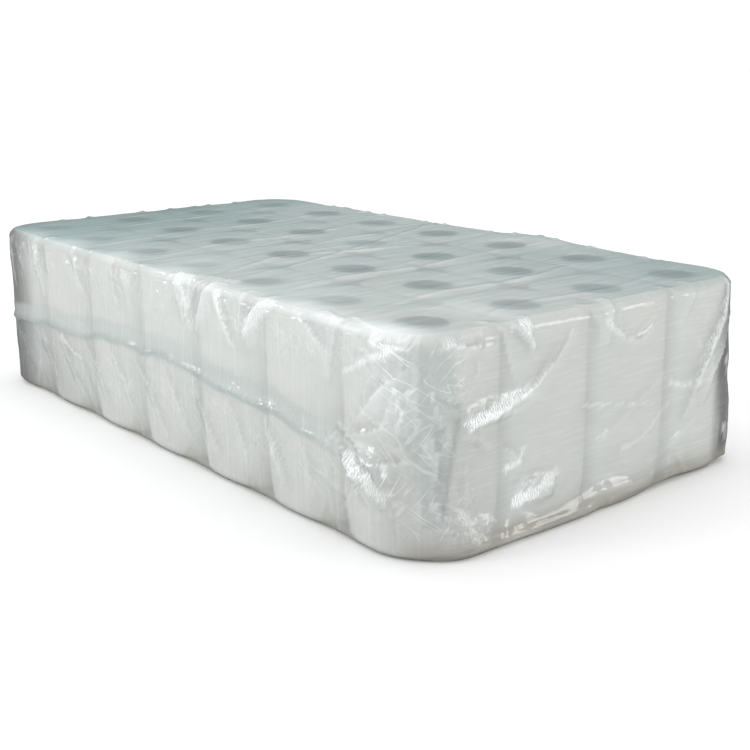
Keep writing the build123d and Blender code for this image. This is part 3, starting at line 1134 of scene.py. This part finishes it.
CRUMPLED_PATCHES = [
    ("long", (350, 70), (34, 30), 1.0),
    ("long", (392, 165), (44, 34), 0.8),
    ("long", (396, 100), (40, 66), 0.6),
    ("end", (-200, 165), (34, 34), 0.75),
    ("end", (-196, 60), (38, 50), 0.65),
    ("end", (-132, 124), (46, 12), 0.8),
    ("end", (-84, 42), (34, 14), 0.8),
    ("end", (-172, 20), (40, 18), 0.5),
    ("end", (160, 130), (30, 50), 0.45),
    ("end", (198, 70), (18, 60), 0.4),
    ("long", (-330, 165), (36, 26), 0.45),
    ("long", (-262, 70), (40, 22), 0.35),
    ("long", (100, 175), (70, 26), 0.35),
    ("long", (60, 97), (260, 12), 0.35),
    ("back", (0, 97), (330, 12), 0.35),
    ("back", (-300, 60), (50, 40), 0.6),
    ("back", (280, 120), (60, 40), 0.5),
    ("far_end", (0, 100), (160, 30), 0.4),
    ("far_end", (-120, 50), (50, 34), 0.7),
    ("far_end", (150, 150), (40, 34), 0.6),
    ("far_end", (188, 60), (34, 50), 0.8),
    ("back", (-372, 110), (34, 50), 0.7),
]


# Bright facets: face, line in millimetres from its wide end to its narrow one, half width at each end, strength.

BRIGHT_FACETS = [
    ("end", [(-166, 117), (-131, 127), (-97, 136)], (7.5, 4.0), 1.0),
    ("end", [(-97, 136), (-76, 148), (-58, 168)], (3.0, 2.0), 0.35),
    ("end", [(-108, 36), (-86, 40), (-58, 52)], (7.0, 4.5), 0.85),
    ("end", [(-122, 68), (-104, 72), (-98, 84)], (3.5, 1.5), 0.6),
    ("end", [(-98, 193), (-90, 166)], (6.0, 1.0), 0.7),
    ("end", [(193, 190), (174, 158), (158, 132)], (5.5, 6.5), 0.75),
    ("end", [(158, 134), (146, 112), (134, 94)], (6.5, 5.0), 0.35),
    ("end", [(-30, 107), (20, 98), (80, 88)], (1.4, 1.2), 0.4),
    ("end", [(96, 106), (128, 97), (166, 96)], (2.6, 1.5), 0.4),
    ("end", [(2, 180), (20, 164), (44, 160), (70, 174)], (3.0, 2.0), 0.4),
    ("end", [(30, 52), (66, 60), (100, 88)], (2.6, 1.2), 0.35),
    ("end", [(196, 112), (200, 96)], (4.0, 2.0), 0.7),
    ("end", [(197, 40), (201, 26)], (4.0, 2.0), 0.7),
    ("long", [(326, 78), (340, 68), (366, 54)], (8.5, 6.0), 0.8),
    ("long", [(372, 183), (345, 169), (312, 152)], (3.6, 2.0), 0.55),
    ("long", [(352, 188), (368, 186), (382, 187)], (4.0, 2.5), 0.5),
    ("end", [(-206, 150), (-196, 128), (-192, 108)], (2.0, 1.2), 0.45),
    ("long", [(376, 150), (384, 130), (378, 112)], (2.4, 1.4), 0.45),
    ("end", [(-172, 40), (-164, 22), (-160, 14)], (5.0, 2.0), 0.45),
    ("long", [(340, 128), (356, 118), (372, 122)], (2.4, 1.2), 0.4),
    ("end", [(-192, 187), (-176, 188), (-150, 193)], (4.5, 2.0), 0.5),
    ("long", [(108, 228), (60, 208), (24, 198)], (4.5, 2.0), 0.55),
    ("long", [(52, 200), (64, 172), (76, 142)], (13.0, 1.5), 0.38),
    ("long", [(118, 190), (132, 166), (148, 142)], (6.0, 2.0), 0.42),
    ("long", [(198, 196), (180, 176), (162, 154)], (12.0, 2.0), 0.42),
    ("long", [(298, 214), (330, 206), (362, 196)], (3.0, 2.0), 0.3),
    ("long", [(-353, 186), (-350, 150), (-349, 126)], (6.0, 2.0), 0.35),
    ("long", [(-228, 86), (-200, 72), (-176, 68)], (3.5, 1.5), 0.4),
    ("long", [(196, 84), (206, 62), (222, 26)], (3.0, 1.5), 0.3),
    ("back", [(-250, 188), (-236, 160), (-228, 130)], (9.0, 1.5), 0.5),
    ("back", [(180, 188), (196, 150), (210, 120)], (9.0, 1.5), 0.5),
    ("far_end", [(-60, 188), (-40, 150), (-30, 118)], (9.0, 1.5), 0.5),
]


def bright_mask(points):
    """Where the film catches the light: bars along the lines above, with firm edges, narrowing along their length."""
    mask = np.zeros(len(points))
    for face, marks, (wide, narrow), strength in BRIGHT_FACETS:
        line = hug_corner(fold_line(face, marks))
        close, distance, _, _, along = nearest_on_line(points, line, wide / 1000 * 1.5)
        x, y, z = points[close].T
        uneven = np.sin(x * 610 + z * 370) + np.sin(y * 540 - z * 430 + 1)
        half = (wide + (narrow - wide) * along) / 1000 * (1 + 0.22 * uneven)
        bar = strength * (1 - 0.45 * along) * (1 - smooth_step(distance, half * 0.6, half * 1.3))
        mask[close] = np.maximum(mask[close], bar)
    return mask


def crumpled_mask(points, normals):
    """How crumpled the film is, 0 to 1: soft-edged ovals at the places listed above."""
    mask = np.zeros(len(points))
    for face, middle, half, strength in CRUMPLED_PATCHES:
        place = hug_corner(fold_line(face, [middle, middle]))[0]
        dx, dy, dz = (points - place).T * 1000
        if face in ("long", "back"):
            along, facing = dx - 0.6 * math.copysign(1, place[1]) * dy, normals[:, 1] * SIDE_SIGN[face]
        else:
            along, facing = dy, normals[:, 0] * SIDE_SIGN[face]
        spread = np.sqrt((along / half[0]) ** 2 + (dz / half[1]) ** 2)
        on_face = (facing > -0.05) * (np.abs(normals[:, 2]) < 0.95)
        mask = np.maximum(mask, strength * on_face * (1 - smooth_step(spread, 0.5, 1.25)))
    return mask


def weld_shape(points, normals):
    """The weld: a flat strip of two layers along each long side. Its lower edge is turned under.

    Returns the height of its middle and the masks of its strip, the pinch round it, and its lower and upper lip.
    """
    x, y, z = points.T
    near = y < 0
    middle = 0.100 + 0.016 * hump(x, -0.02, 0.16) + 0.0016 * np.sin(x * 41) + 0.0011 * np.sin(x * 93 + 1)
    middle -= 0.012 * smooth_step(x, 0.2, 0.34) + 0.004 * smooth_step(-x, 0.25, 0.38)
    middle = np.where(near, middle, 0.097 + 0.003 * np.sin(x * 13))
    fade = np.where(near, 1 - smooth_step(x, 0.25, 0.345), 1 - smooth_step(np.abs(x), 0.34, 0.37))
    there = fade * (np.abs(normals[:, 1]) > 0.7)
    across = z - middle
    strip = there * smooth_step(across, -0.0115, -0.0095) * (1 - smooth_step(across, 0.0065, 0.0125))
    pinch = there * hump(across, 0, 0.016)
    return middle, strip, pinch, there * hump(across, -0.0088, 0.0032), there * hump(across, 0.0085, 0.0028)


def loose_film(points, normals):
    """How far the film stands off where it is loose, in metres, and the mask of the loose foot of the near end.

    The other loose places are the foot of the back corner and a low pocket of air along the back edge of the top.
    """
    x, y, z = points.T
    nx, ny, nz = normals.T
    foot = smooth_step(nx, 0.2, 0.8) * (1 - smooth_step(z, 0.0, 0.045))
    foot *= smooth_step(-y, -0.12, 0.0) * smooth_step(y, -0.222, -0.16)
    flare = smooth_step(nx * 0.63 + ny * 0.77, 0.88, 1.0) * (1 - smooth_step(z, 0.0, 0.17))
    puff = hump(x, 0.13, 0.07) * smooth_step(y, 0.14, 0.215) * np.clip(nz + 0.3, 0, 1)
    return 0.008 * foot + 0.0085 * flare + 0.0045 * puff, foot


def facet_lift(points, normals, free_side, crinkle, strip):
    """Facets, in metres: narrow pulls everywhere, broad ones where the film is loose, fine ones where crumpled."""
    loose = 0.25 + 0.5 * free_side + 0.6 * crinkle + 0.35 * smooth_step(normals[:, 0], 0.3, 0.9)
    pulls = creased_cells(points, (0.013, 0.085, 0.060), 3)
    broad = creased_cells(points, (0.034, 0.050, 0.042), 11)
    fine = creased_cells(points, (0.011, 0.011, 0.013), 23)
    lift = 0.0011 * pulls * (1 - 0.5 * strip) + 0.0046 * broad * np.clip(loose, 0, 1) + 0.0022 * fine * crinkle
    return lift * np.where(normals[:, 2] > 0.5, 0.32, 1.0) * (normals[:, 2] > -0.5)


def corner_pocket(flow, z, on_ring):
    """A pocket of film in two layers that hangs down the near corner, and painted shade along its right edge, as masks.

    Its sides are straight lines in millimetres: the distance round from the corner's middle against the height.
    """
    middle = np.pi * CORNER_RADIUS / 4 + 2 * (HALF_LENGTH - CORNER_RADIUS)
    across, high = (flow[:, 0] - middle) * 1000, z * 1000
    left = np.interp(high, (30, 56, 116, 141, 185), (55, 47, 34, 27, 27))
    right = np.interp(high, (30, 37, 129, 182), (57, 64, 78, 71))
    pocket = smooth_step(across, left - 4, left + 4) * (1 - smooth_step(across, right - 2, right + 2))
    pocket *= smooth_step(high, 28, 36) * (1 - smooth_step(high, 180, 188))
    edge = hump(across, right, 2.2) * smooth_step(high, 30, 44) * (1 - smooth_step(high, 120, 150))
    return pocket * on_ring, edge * on_ring


def painted_foot_shade_mask(z, normals, free_side):
    """Painted floor shadow in the slack film along the foot of the near end, between the rolls of the sides and
    underneath.
    """
    low_band = 1 - smooth_step(z, 0.006, 0.030)
    painted_foot_shade = low_band * smooth_step(normals[:, 0], 0.3, 0.8) + 0.7 * low_band * free_side
    return np.clip(painted_foot_shade + smooth_step(-normals[:, 2], 0.3, 0.8), 0, 1)


def haze_mask(points, normals, free, strip, crinkle, foot, painted_foot_shade):
    """The share of light that the film's haze stops. free holds where it hangs free: at the side, on top, at a bore.

    The top has blotches of haze and more of it towards the long side, and the near corner roll's bore shows clear.
    """
    x, y, _ = points.T
    free_side, free_top, free_bore = free
    up = np.clip(normals[:, 2], 0, 1)
    haze = 0.35 + 0.08 * free_side ** 2 + 0.12 * free_side * smooth_step(normals[:, 0], 0.5, 0.9)
    haze += up * (0.03 + 0.02 * free_top - 0.03 * free_bore)
    haze += 0.06 * strip + 0.08 * crinkle + 0.10 * foot + 0.20 * painted_foot_shade
    blotch = np.sin(x * 17 + 2 * np.sin(y * 13)) * np.sin(y * 19 + 1.5 * np.sin(x * 11 + 2))
    blotch += 0.5 * np.sin(x * 37 + y * 29)
    clear_spot = hump(x, 0.350, 0.05) * hump(y, -0.160, 0.05)
    edge = 0.08 * (1 - smooth_step(y + HALF_WIDTH, 0.02, 0.16)) + 0.09 * hump(y, -0.165, 0.05)
    haze += up * ((0.10 * blotch + edge) * (1 - clear_spot) - 0.03 * clear_spot)
    return np.clip(haze, HAZE_LEAST, 1)


def painted_shade_mask(points, normals, weld_middle, strip, painted_flank_shade, pocket_edge):
    """Painted shade on the film: up the far corner of the long side, up the back corner of the end, and thinly
    elsewhere.
    """
    x, y, z = points.T
    nx, ny, nz = normals.T
    far_corner = smooth_step(-x, 0.285, 0.375) * smooth_step(-ny, 0.0, 0.4) * np.where(z > weld_middle, 1.0, 0.80)
    far_rim = smooth_step(-x, 0.355, 0.402) * smooth_step(nz, 0.2, 0.7)
    far_low = smooth_step(-ny, 0.2, 0.9) * smooth_step(-x, 0.10, 0.30) * (1 - smooth_step(z, 0.085, 0.105))
    # The back corner's starts behind the long bright fold.
    begin = np.interp(z, (0.03, 0.08, 0.13, 0.165, 0.19), (0.16, 0.10, 0.02, 0.10, 0.42))
    back_corner = smooth_step(nx, 0.24, 0.62) * smooth_step(ny, begin, begin + 0.24)
    low_corner = smooth_step(x, 0.335, 0.375) * smooth_step(-y, 0.10, 0.18) * (1 - smooth_step(z, 0.06, 0.15))
    painted_shade = far_corner + 0.35 * far_rim + back_corner + 0.12 * low_corner + 0.20 * painted_flank_shade + 0.20 * far_low
    return np.clip(np.clip(painted_shade, 0, 1) * (1 - 0.55 * strip) + 0.28 * pocket_edge, 0, 1)


def doubled_and_painted_shade_mask(points, normals, strip, lip, upper_lip, pocket):
    """Film in two layers, and painted shade as if seen at a slant: the weld and its lips and the pocket are two layers,
    the far parts and the back right of the top are painted shade; underneath and along the bottom rim it is taken off,
    which paints those lighter.
    """
    x, y, _ = points.T
    up = np.clip(normals[:, 2], 0, 1)
    # Painted shade on the top: cooler and darker towards its far end and at its back right.
    far_top = up * smooth_step(-x, 0.05, 0.40) * (1 - 0.85 * smooth_step(y, 0.0, 0.16) * smooth_step(x, -0.40, -0.24))
    back_right = up * smooth_step(x, 0.02, 0.35) * smooth_step(y, -0.04, 0.18)
    # Painted light: less tint underneath and along the bottom rim.
    under = smooth_step(-normals[:, 2], 0.1, 0.6)
    doubled_and_painted_shade = 0.12 * strip + 0.34 * lip + 0.10 * upper_lip + 0.4 * far_top + 0.22 * back_right + 0.17 * pocket
    return np.clip(doubled_and_painted_shade - 0.5 * under, -0.7, 1)


def painted_light_mask(points, normals, flank, weld_middle, free_side, crinkle):
    """Painted light: highlights on the lit flanks of folds and along the scalloped long edge of the top, a lighter band
    above the weld on the near half, lighter patches on the top by the near corner and low on the end, and a little on
    crumpled film.
    """
    x, y, z = points.T
    up = np.clip(normals[:, 2], 0, 1)
    upper = (np.abs(normals[:, 1]) > 0.7) * (y < 0) * (1 - 0.4 * free_side)
    upper = upper * smooth_step(z, 0.105, 0.135) * smooth_step(x, -0.20, 0.06)
    end_low = smooth_step(normals[:, 0], 0.5, 0.9) * smooth_step(z, 0.02, 0.05) * (1 - smooth_step(z, 0.06, 0.12))
    near_top = up * hump(x, 0.33, 0.10) * hump(y, -0.218, 0.032)
    near_top += up * 0.60 * hump(x, 0.345, 0.05) * hump(y, -0.108, 0.030)
    scallop = 0.5 + 0.5 * np.cos(2 * np.pi * (x - 0.012) / PITCH_ALONG) * (0.75 + 0.25 * np.cos(x * 11 + 1))
    edge_top = up * (1 - smooth_step(y + HALF_WIDTH, 0.002, 0.014 + 0.045 * scallop)) * smooth_step(x, -0.42, -0.25)
    painted_light = 0.30 * flank * np.where(z < weld_middle, 0.55, 1.0) + 0.38 * edge_top * (0.35 + 0.65 * scallop)
    return np.clip(painted_light + 0.46 * near_top + 0.05 * crinkle + 0.18 * upper + 0.06 * end_low, 0, 1)


def flow_uv(mesh, flow, ring_points, columns):
    """The film's unrolled coordinates at each face corner, in metres.

    Where the outline closes on itself the run starts again from nothing, so its last cell is carried on.
    """
    corner = corner_vertices(mesh)
    uv = flow[corner]
    total = flow[:columns, 0].max() + flow[1, 0]
    corners = np.zeros(len(mesh.polygons), np.int32)
    mesh.polygons.foreach_get("loop_total", corners)
    polygon = np.repeat(np.arange(len(corners)), corners)
    widest = np.zeros(len(corners))
    np.maximum.at(widest, polygon, uv[:, 0])
    over_join = (corner < ring_points) & (widest[polygon] > total * 0.9) & (uv[:, 0] < 0.01)
    uv[:, 0] = np.where(over_join, total, uv[:, 0])
    return uv


def make_film(settings, material, rng):
    """The bag: a closed rounded box that sags between the rolls, with folds and a weld on each long side raised on it.

    Every point moves along its normal, out by the lift of folds, weld, loose film and facets, and in by the sag.
    """
    points, normals, flow, faces, ring_points, columns = film_grid()
    inward, *free = sag_depth(points, normals, settings)
    folded = {name: np.zeros(len(points)) for name in ("lift", "crease", "painted_light", "painted_shade")}
    scattered = top_pulls(settings, rng) + side_streaks(rng) + corner_crumples(rng) + edge_notches(rng)
    for face, line, height, width, lean in MAIN_FOLDS + scattered:
        path = hug_corner(fold_line(face, line))
        raise_fold(points, normals, path, height * settings.crease / 1000, width / 1000, lean, folded)
    weld_middle, strip, pinch, lip, upper_lip = weld_shape(points, normals)
    crinkle = crumpled_mask(points, normals)
    loose, foot = loose_film(points, normals)
    lift = folded["lift"] * (1 - 0.75 * strip) + 0.0011 * strip + 0.0020 * lip + loose
    lift += settings.crease * facet_lift(points, normals, free[0], crinkle, strip)
    lift = np.clip(lift, 0, LIFT_MOST)
    moved = points + normals * (lift - inward * (1 - 0.55 * pinch))[:, None]
    moved[:, 2] = np.maximum(moved[:, 2], FOOT_HEIGHT)
    piece = new_piece("film_bag", moved, faces, material)
    pocket, pocket_edge = corner_pocket(flow, points[:, 2], np.arange(len(points)) < ring_points)
    painted_foot_shade = painted_foot_shade_mask(points[:, 2], normals, free[0])
    masks = {
        "painted_shade": painted_shade_mask(points, normals, weld_middle, strip, folded["painted_shade"], pocket_edge),
        "painted_foot_shade": painted_foot_shade,
        "glint": bright_mask(points),
        "level": smooth_step(np.abs(normals[:, 0]), 0.75, 0.98),
        "doubled_and_painted_shade": doubled_and_painted_shade_mask(points, normals, strip, lip, upper_lip, pocket),
        "crinkle": np.maximum(crinkle, 0.08),
        "painted_light": painted_light_mask(points, normals, folded["painted_light"], weld_middle, free[0], crinkle),
        "crease": np.clip(folded["crease"], 0, 1),
        "haze": haze_mask(points, normals, free, strip, crinkle, foot, painted_foot_shade),
    }
    for name, values in masks.items():
        point_mask(piece.data, name, values)
    corner_uv(piece.data, "flow", flow_uv(piece.data, flow, ring_points, columns))
    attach(piece, "root")
    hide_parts(FILM_NODE)
    return piece


# Operators


class BALE_OT_rolls(bpy.types.Operator):
    """Make the wound paper of every roll"""

    bl_idname = "bale.rolls"
    bl_label = "Make Rolls"

    def execute(self, context):
        settings = context.scene.bale_rolls
        material = paper_material(settings)
        for number, name in enumerate(ROLL_NODES):
            make_roll(name, settings, material, np.random.default_rng(ROLL_SEED + number))
        return {"FINISHED"}


class BALE_OT_cores(bpy.types.Operator):
    """Make the card tubes of both layers"""

    bl_idname = "bale.cores"
    bl_label = "Make Cores"

    def execute(self, context):
        settings = context.scene.bale_cores
        material = card_material(settings)
        for number, name in enumerate(CORE_NODES):
            make_cores(name, settings, material, np.random.default_rng(CORE_SEED + number))
        return {"FINISHED"}


class BALE_OT_film(bpy.types.Operator):
    """Make the creased bag of clear film"""

    bl_idname = "bale.film"
    bl_label = "Make Film"

    def execute(self, context):
        settings = context.scene.bale_film
        make_film(settings, film_material(settings), np.random.default_rng(FILM_SEED))
        return {"FINISHED"}


class BALE_OT_stage(bpy.types.Operator):
    """Set out the floor, the lamps and the camera"""

    bl_idname = "bale.stage"
    bl_label = "Make Stage"

    def execute(self, context):
        make_stage(context.scene, context.scene.bale_stage)
        return {"FINISHED"}


# Stage

# Lamps: name, width and height in metres, share of the key power, place, target and colour.

LAMPS = [
    ("Key", 0.5, 0.5, 0.40, (-0.3, -1.7, 1.1), (0.05, 0, 0.08), (0.97, 0.99, 1.0)),
    ("Low Left", 0.2, 0.26, 0.12, (-1.6, -1.6, 0.35), (0, 0, 0.1), (1, 1, 1)),
    ("Rim", 0.24, 0.24, 0.12, (-1.7, -0.35, 1.35), (0, 0, 0.15), (0.97, 0.99, 1.0)),
    ("Side", 0.6, 0.6, 0.3, (1.9, 1.3, 0.55), (0.3, 0, 0.1), (1.0, 0.985, 0.96)),
]

# The camera: how far it is turned round Z, tilted down and rolled, in radians, and its place in roll pitches.

CAMERA_TURN, CAMERA_TILT, CAMERA_ROLL = 0.885, 0.269, -0.005
CAMERA_PLACE = (9.489, -7.187, 3.659)
FLOOR_REACH, FLOOR_CELLS = 14.0, 24


def add_lamp(scene, name, width, height, power, place, target, color):
    """A rectangular soft lamp that faces a point."""
    data = bpy.data.lights.new(name, "AREA")
    data.shape = "RECTANGLE"
    data.size, data.size_y, data.energy, data.color = width, height, power, color
    lamp = bpy.data.objects.new(name, data)
    scene.collection.objects.link(lamp)
    lamp.location = place
    lamp.rotation_euler = (Vector(target) - Vector(place)).to_track_quat("-Z", "Y").to_euler()


def add_camera(scene, settings):
    """A camera turned, tilted and rolled as given above."""
    data = bpy.data.cameras.new("Camera")
    data.sensor_width = 36.0
    data.lens = settings.lens
    data.clip_start, data.clip_end = 0.01, 60.0
    camera = bpy.data.objects.new("Camera", data)
    scene.collection.objects.link(camera)
    level = math.cos(CAMERA_TILT)
    back = Vector((math.sin(CAMERA_TURN) * level, -math.cos(CAMERA_TURN) * level, math.sin(CAMERA_TILT)))
    right = (-back).cross(Vector((0, 0, 1))).normalized()
    up = right.cross(-back)
    cos, sin = math.cos(CAMERA_ROLL), math.sin(CAMERA_ROLL)
    basis = Matrix((right * cos + up * sin, up * cos - right * sin, back)).transposed()
    camera.matrix_world = Matrix.Translation(Vector(CAMERA_PLACE) * PITCH_ALONG) @ basis.to_4x4()
    scene.camera = camera


def make_stage(scene, settings):
    """Floor, world, lamps and camera. The floor's cells grow with the square of their distance out."""
    span = np.linspace(-1, 1, FLOOR_CELLS + 1)
    span = FLOOR_REACH * np.sign(span) * span ** 2
    grid_x, grid_y = np.meshgrid(span, span, indexing="ij")
    floor_points = np.stack([grid_x, grid_y, np.full_like(grid_x, -0.0004)], -1).reshape(-1, 3)
    number = np.arange(len(floor_points)).reshape(grid_x.shape)
    floor = new_piece("floor", floor_points, grid_quads(number).tolist(), floor_material(settings))
    world = bpy.data.worlds.new("Studio")
    world.use_nodes = True
    background = world.node_tree.nodes["Background"]
    background.inputs["Color"].default_value = (1.0, 1.0, 1.0, 1.0)
    background.inputs["Strength"].default_value = settings.world_strength
    scene.world = world
    scene.view_settings.view_transform = "Standard"
    scene.view_settings.look = "None"
    for name, width, height, share, place, target, color in LAMPS:
        add_lamp(scene, name, width, height, settings.key_power * share, place, target, color)
    add_camera(scene, settings)


class BALE_PT_panel(bpy.types.Panel):
    """Sidebar panel with the settings and one button for each piece"""

    bl_label = "Toilet Roll Bale"
    bl_idname = "BALE_PT_panel"
    bl_space_type = "VIEW_3D"
    bl_region_type = "UI"
    bl_category = "Bale"

    def draw(self, context):
        for (name, group), operator in zip(SETTINGS.items(), OPERATORS):
            box = self.layout.box()
            for key in group.__annotations__:
                box.prop(getattr(context.scene, name), key)
            box.operator(operator.bl_idname)


OPERATORS = (BALE_OT_rolls, BALE_OT_cores, BALE_OT_film, BALE_OT_stage)
CLASSES = (*SETTINGS.values(), *OPERATORS, BALE_PT_panel)


def register():
    for item in CLASSES:
        bpy.utils.register_class(item)
    for name, group in SETTINGS.items():
        setattr(bpy.types.Scene, name, PointerProperty(type=group))


def unregister():
    for name in SETTINGS:
        delattr(bpy.types.Scene, name)
    for item in reversed(CLASSES):
        bpy.utils.unregister_class(item)


def main():
    register()
    bpy.ops.bale.rolls()
    bpy.ops.bale.cores()
    bpy.ops.bale.film()
    bpy.ops.bale.stage()


if __name__ == "__main__":
    main()
